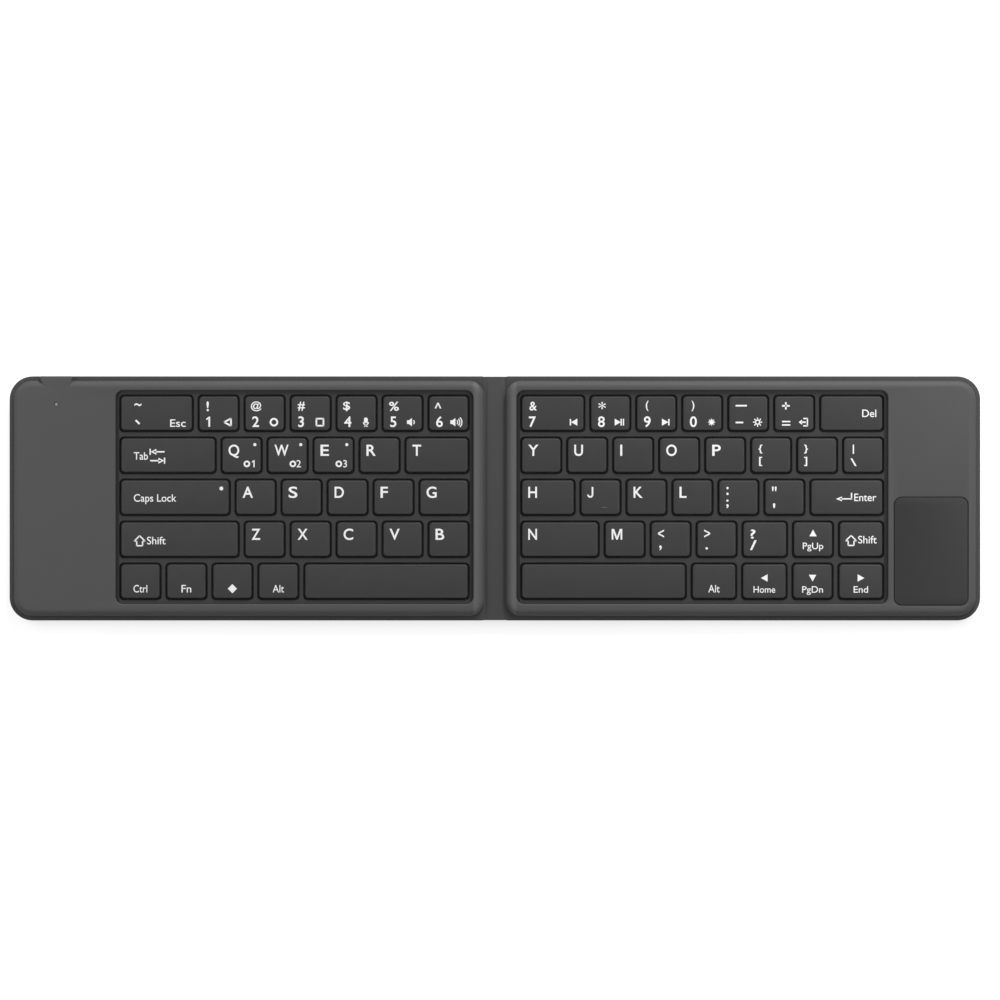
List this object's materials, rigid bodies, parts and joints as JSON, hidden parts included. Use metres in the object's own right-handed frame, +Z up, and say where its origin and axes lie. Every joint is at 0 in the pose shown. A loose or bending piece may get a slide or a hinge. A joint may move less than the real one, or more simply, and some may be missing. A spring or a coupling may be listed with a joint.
{
  "type": "folding keyboard",
  "caption": "Slim two-part folding keyboard with a flexible spine, island keys on scissor supports, a touchpad and a rear charging port.",
  "frame": {"origin": "middle of the underside, laid open and flat", "axes": "+X along the keyboard to the half with the touchpad, +Y to the rear edge with the charging port, +Z up through the keys"},
  "size_m": [0.318, 0.08, 0.0064],
  "materials": {
    "case_skin": "matte grained soft-touch skin over moulded plastic",
    "spine_skin": "matte grained flexible skin",
    "key_frame": "fine matte moulded plastic",
    "keycap": "fine matte moulded plastic, printed white",
    "touchpad": "smooth satin plastic",
    "steel": "zinc-plated sheet",
    "membrane_film": "black printed polyester film with black silicone domes",
    "nylon": "black moulded nylon",
    "circuit_board": "solder mask over glass-fibre board",
    "battery_pouch": "laminated pouch foil",
    "port_shell": "drawn stainless shell",
    "light_pipe": "clear frosted light pipe",
    "magnet": "nickel-plated magnet",
    "ribbon_film": "amber polyimide film"
  },
  "bodies": {
    "left_half": {"left_top_cover": "case_skin", "left_key_frame": "key_frame", "left_bottom_cover": "case_skin", "left_key_plate": "steel", "left_membrane": "membrane_film", "left_scissors": "nylon", "main_board": "circuit_board", "battery": "battery_pouch", "usb_socket": "port_shell", "charge_light": "light_pipe", "left_magnets": "magnet"},
    "spine": {"spine": "spine_skin", "ribbon_cable": "ribbon_film"},
    "right_half": {"right_top_cover": "case_skin", "right_key_frame": "key_frame", "right_bottom_cover": "case_skin", "right_key_plate": "steel", "right_membrane": "membrane_film", "right_scissors": "nylon", "touchpad": "touchpad", "touchpad_board": "circuit_board", "right_magnets": "magnet"},
    "left_number_row": {"left_number_row": "keycap"},
    "key_tab": {"key_tab": "keycap"},
    "key_q": {"key_q": "keycap"},
    "key_w": {"key_w": "keycap"},
    "key_e": {"key_e": "keycap"},
    "key_r": {"key_r": "keycap"},
    "key_t": {"key_t": "keycap"},
    "key_caps_lock": {"key_caps_lock": "keycap"},
    "key_a": {"key_a": "keycap"},
    "key_s": {"key_s": "keycap"},
    "key_d": {"key_d": "keycap"},
    "key_f": {"key_f": "keycap"},
    "key_g": {"key_g": "keycap"},
    "key_shift_left": {"key_shift_left": "keycap"},
    "key_z": {"key_z": "keycap"},
    "key_x": {"key_x": "keycap"},
    "key_c": {"key_c": "keycap"},
    "key_v": {"key_v": "keycap"},
    "key_b": {"key_b": "keycap"},
    "left_modifiers": {"left_modifiers": "keycap"},
    "key_space_left": {"key_space_left": "keycap"},
    "right_number_row": {"right_number_row": "keycap"},
    "key_y": {"key_y": "keycap"},
    "key_u": {"key_u": "keycap"},
    "key_i": {"key_i": "keycap"},
    "key_o": {"key_o": "keycap"},
    "key_p": {"key_p": "keycap"},
    "punctuation_keys": {"punctuation_keys": "keycap"},
    "key_h": {"key_h": "keycap"},
    "key_j": {"key_j": "keycap"},
    "key_k": {"key_k": "keycap"},
    "key_l": {"key_l": "keycap"},
    "key_enter": {"key_enter": "keycap"},
    "key_n": {"key_n": "keycap"},
    "key_m": {"key_m": "keycap"},
    "arrow_keys": {"arrow_keys": "keycap"},
    "key_shift_right": {"key_shift_right": "keycap"},
    "key_space_right": {"key_space_right": "keycap"}
  },
  "joints": [
    {"name": "fold_left", "type": "hinge", "parent": "spine", "child": "left_half", "pos_m": [-0.00295, 0, 0.0035], "axis": [0, 1, 0], "range_deg": [0, 90], "deforming": ["ribbon_cable"]},
    {"name": "fold_right", "type": "hinge", "parent": "spine", "child": "right_half", "pos_m": [0.00295, 0, 0.0035], "axis": [0, -1, 0], "range_deg": [0, 90], "deforming": ["ribbon_cable"]},
    {"name": "press_left_number_row", "type": "slide", "parent": "left_half", "child": "left_number_row", "axis": [0, 0, -1], "range_m": [0, 0.0013], "stiffness_N_per_m": 200, "deforming": ["left_membrane", "left_scissors"]},
    {"name": "press_tab", "type": "slide", "parent": "left_half", "child": "key_tab", "axis": [0, 0, -1], "range_m": [0, 0.0013], "stiffness_N_per_m": 200, "deforming": ["left_membrane", "left_scissors"]},
    {"name": "press_q", "type": "slide", "parent": "left_half", "child": "key_q", "axis": [0, 0, -1], "range_m": [0, 0.0013], "stiffness_N_per_m": 200, "deforming": ["left_membrane", "left_scissors"]},
    {"name": "press_w", "type": "slide", "parent": "left_half", "child": "key_w", "axis": [0, 0, -1], "range_m": [0, 0.0013], "stiffness_N_per_m": 200, "deforming": ["left_membrane", "left_scissors"]},
    {"name": "press_e", "type": "slide", "parent": "left_half", "child": "key_e", "axis": [0, 0, -1], "range_m": [0, 0.0013], "stiffness_N_per_m": 200, "deforming": ["left_membrane", "left_scissors"]},
    {"name": "press_r", "type": "slide", "parent": "left_half", "child": "key_r", "axis": [0, 0, -1], "range_m": [0, 0.0013], "stiffness_N_per_m": 200, "deforming": ["left_membrane", "left_scissors"]},
    {"name": "press_t", "type": "slide", "parent": "left_half", "child": "key_t", "axis": [0, 0, -1], "range_m": [0, 0.0013], "stiffness_N_per_m": 200, "deforming": ["left_membrane", "left_scissors"]},
    {"name": "press_caps_lock", "type": "slide", "parent": "left_half", "child": "key_caps_lock", "axis": [0, 0, -1], "range_m": [0, 0.0013], "stiffness_N_per_m": 200, "deforming": ["left_membrane", "left_scissors"]},
    {"name": "press_a", "type": "slide", "parent": "left_half", "child": "key_a", "axis": [0, 0, -1], "range_m": [0, 0.0013], "stiffness_N_per_m": 200, "deforming": ["left_membrane", "left_scissors"]},
    {"name": "press_s", "type": "slide", "parent": "left_half", "child": "key_s", "axis": [0, 0, -1], "range_m": [0, 0.0013], "stiffness_N_per_m": 200, "deforming": ["left_membrane", "left_scissors"]},
    {"name": "press_d", "type": "slide", "parent": "left_half", "child": "key_d", "axis": [0, 0, -1], "range_m": [0, 0.0013], "stiffness_N_per_m": 200, "deforming": ["left_membrane", "left_scissors"]},
    {"name": "press_f", "type": "slide", "parent": "left_half", "child": "key_f", "axis": [0, 0, -1], "range_m": [0, 0.0013], "stiffness_N_per_m": 200, "deforming": ["left_membrane", "left_scissors"]},
    {"name": "press_g", "type": "slide", "parent": "left_half", "child": "key_g", "axis": [0, 0, -1], "range_m": [0, 0.0013], "stiffness_N_per_m": 200, "deforming": ["left_membrane", "left_scissors"]},
    {"name": "press_shift_left", "type": "slide", "parent": "left_half", "child": "key_shift_left", "axis": [0, 0, -1], "range_m": [0, 0.0013], "stiffness_N_per_m": 200, "deforming": ["left_membrane", "left_scissors"]},
    {"name": "press_z", "type": "slide", "parent": "left_half", "child": "key_z", "axis": [0, 0, -1], "range_m": [0, 0.0013], "stiffness_N_per_m": 200, "deforming": ["left_membrane", "left_scissors"]},
    {"name": "press_x", "type": "slide", "parent": "left_half", "child": "key_x", "axis": [0, 0, -1], "range_m": [0, 0.0013], "stiffness_N_per_m": 200, "deforming": ["left_membrane", "left_scissors"]},
    {"name": "press_c", "type": "slide", "parent": "left_half", "child": "key_c", "axis": [0, 0, -1], "range_m": [0, 0.0013], "stiffness_N_per_m": 200, "deforming": ["left_membrane", "left_scissors"]},
    {"name": "press_v", "type": "slide", "parent": "left_half", "child": "key_v", "axis": [0, 0, -1], "range_m": [0, 0.0013], "stiffness_N_per_m": 200, "deforming": ["left_membrane", "left_scissors"]},
    {"name": "press_b", "type": "slide", "parent": "left_half", "child": "key_b", "axis": [0, 0, -1], "range_m": [0, 0.0013], "stiffness_N_per_m": 200, "deforming": ["left_membrane", "left_scissors"]},
    {"name": "press_left_modifiers", "type": "slide", "parent": "left_half", "child": "left_modifiers", "axis": [0, 0, -1], "range_m": [0, 0.0013], "stiffness_N_per_m": 200, "deforming": ["left_membrane", "left_scissors"]},
    {"name": "press_space_left", "type": "slide", "parent": "left_half", "child": "key_space_left", "axis": [0, 0, -1], "range_m": [0, 0.0013], "stiffness_N_per_m": 200, "deforming": ["left_membrane", "left_scissors"]},
    {"name": "press_right_number_row", "type": "slide", "parent": "right_half", "child": "right_number_row", "axis": [0, 0, -1], "range_m": [0, 0.0013], "stiffness_N_per_m": 200, "deforming": ["right_membrane", "right_scissors"]},
    {"name": "press_y", "type": "slide", "parent": "right_half", "child": "key_y", "axis": [0, 0, -1], "range_m": [0, 0.0013], "stiffness_N_per_m": 200, "deforming": ["right_membrane", "right_scissors"]},
    {"name": "press_u", "type": "slide", "parent": "right_half", "child": "key_u", "axis": [0, 0, -1], "range_m": [0, 0.0013], "stiffness_N_per_m": 200, "deforming": ["right_membrane", "right_scissors"]},
    {"name": "press_i", "type": "slide", "parent": "right_half", "child": "key_i", "axis": [0, 0, -1], "range_m": [0, 0.0013], "stiffness_N_per_m": 200, "deforming": ["right_membrane", "right_scissors"]},
    {"name": "press_o", "type": "slide", "parent": "right_half", "child": "key_o", "axis": [0, 0, -1], "range_m": [0, 0.0013], "stiffness_N_per_m": 200, "deforming": ["right_membrane", "right_scissors"]},
    {"name": "press_p", "type": "slide", "parent": "right_half", "child": "key_p", "axis": [0, 0, -1], "range_m": [0, 0.0013], "stiffness_N_per_m": 200, "deforming": ["right_membrane", "right_scissors"]},
    {"name": "press_punctuation_keys", "type": "slide", "parent": "right_half", "child": "punctuation_keys", "axis": [0, 0, -1], "range_m": [0, 0.0013], "stiffness_N_per_m": 200, "deforming": ["right_membrane", "right_scissors"]},
    {"name": "press_h", "type": "slide", "parent": "right_half", "child": "key_h", "axis": [0, 0, -1], "range_m": [0, 0.0013], "stiffness_N_per_m": 200, "deforming": ["right_membrane", "right_scissors"]},
    {"name": "press_j", "type": "slide", "parent": "right_half", "child": "key_j", "axis": [0, 0, -1], "range_m": [0, 0.0013], "stiffness_N_per_m": 200, "deforming": ["right_membrane", "right_scissors"]},
    {"name": "press_k", "type": "slide", "parent": "right_half", "child": "key_k", "axis": [0, 0, -1], "range_m": [0, 0.0013], "stiffness_N_per_m": 200, "deforming": ["right_membrane", "right_scissors"]},
    {"name": "press_l", "type": "slide", "parent": "right_half", "child": "key_l", "axis": [0, 0, -1], "range_m": [0, 0.0013], "stiffness_N_per_m": 200, "deforming": ["right_membrane", "right_scissors"]},
    {"name": "press_enter", "type": "slide", "parent": "right_half", "child": "key_enter", "axis": [0, 0, -1], "range_m": [0, 0.0013], "stiffness_N_per_m": 200, "deforming": ["right_membrane", "right_scissors"]},
    {"name": "press_n", "type": "slide", "parent": "right_half", "child": "key_n", "axis": [0, 0, -1], "range_m": [0, 0.0013], "stiffness_N_per_m": 200, "deforming": ["right_membrane", "right_scissors"]},
    {"name": "press_m", "type": "slide", "parent": "right_half", "child": "key_m", "axis": [0, 0, -1], "range_m": [0, 0.0013], "stiffness_N_per_m": 200, "deforming": ["right_membrane", "right_scissors"]},
    {"name": "press_arrow_keys", "type": "slide", "parent": "right_half", "child": "arrow_keys", "axis": [0, 0, -1], "range_m": [0, 0.0013], "stiffness_N_per_m": 200, "deforming": ["right_membrane", "right_scissors"]},
    {"name": "press_shift_right", "type": "slide", "parent": "right_half", "child": "key_shift_right", "axis": [0, 0, -1], "range_m": [0, 0.0013], "stiffness_N_per_m": 200, "deforming": ["right_membrane", "right_scissors"]},
    {"name": "press_space_right", "type": "slide", "parent": "right_half", "child": "key_space_right", "axis": [0, 0, -1], "range_m": [0, 0.0013], "stiffness_N_per_m": 200, "deforming": ["right_membrane", "right_scissors"]}
  ],
  "couplings": [
    {"joint": "fold_right", "follows": "fold_left", "ratio": 1}
  ]
}
